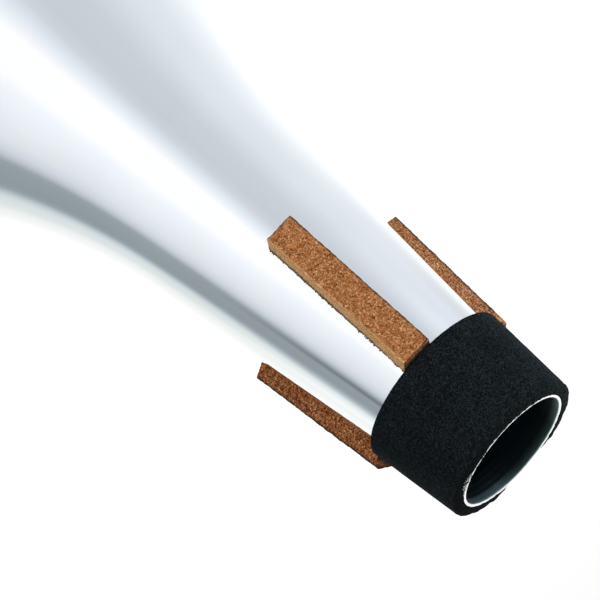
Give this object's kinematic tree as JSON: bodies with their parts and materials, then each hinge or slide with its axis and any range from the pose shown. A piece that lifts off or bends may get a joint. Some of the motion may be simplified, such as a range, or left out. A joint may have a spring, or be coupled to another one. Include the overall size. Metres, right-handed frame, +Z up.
{
  "type": "tenor horn straight mute",
  "caption": "Straight mute for a tenor horn: a spun aluminium cone with a rounded bowl, a pressed base plate, a foam sleeve at the mouth and cork strips along the neck.",
  "frame": {"origin": "centre of the foot ring, in the plane that the mute stands on", "axes": "+Z up the turning axis, from the base to the open mouth; -Y towards the longest cork strip; +X to the right when seen from that strip's side"},
  "size_m": [0.1258, 0.1258, 0.2444],
  "materials": {
    "shell_aluminium": "spun and polished, clear and bright",
    "plate_aluminium": "pressed and polished",
    "foam": "matt black foam rubber with fine open pores",
    "cork": "pressed cork granules, raw"
  },
  "bodies": {
    "root": {"cone_shell": "shell_aluminium", "base_plate": "plate_aluminium", "foam_sleeve": "foam", "cork_strip_front": "cork", "cork_strip_right": "cork", "cork_strip_left": "cork"}
  },
  "joints": []
}
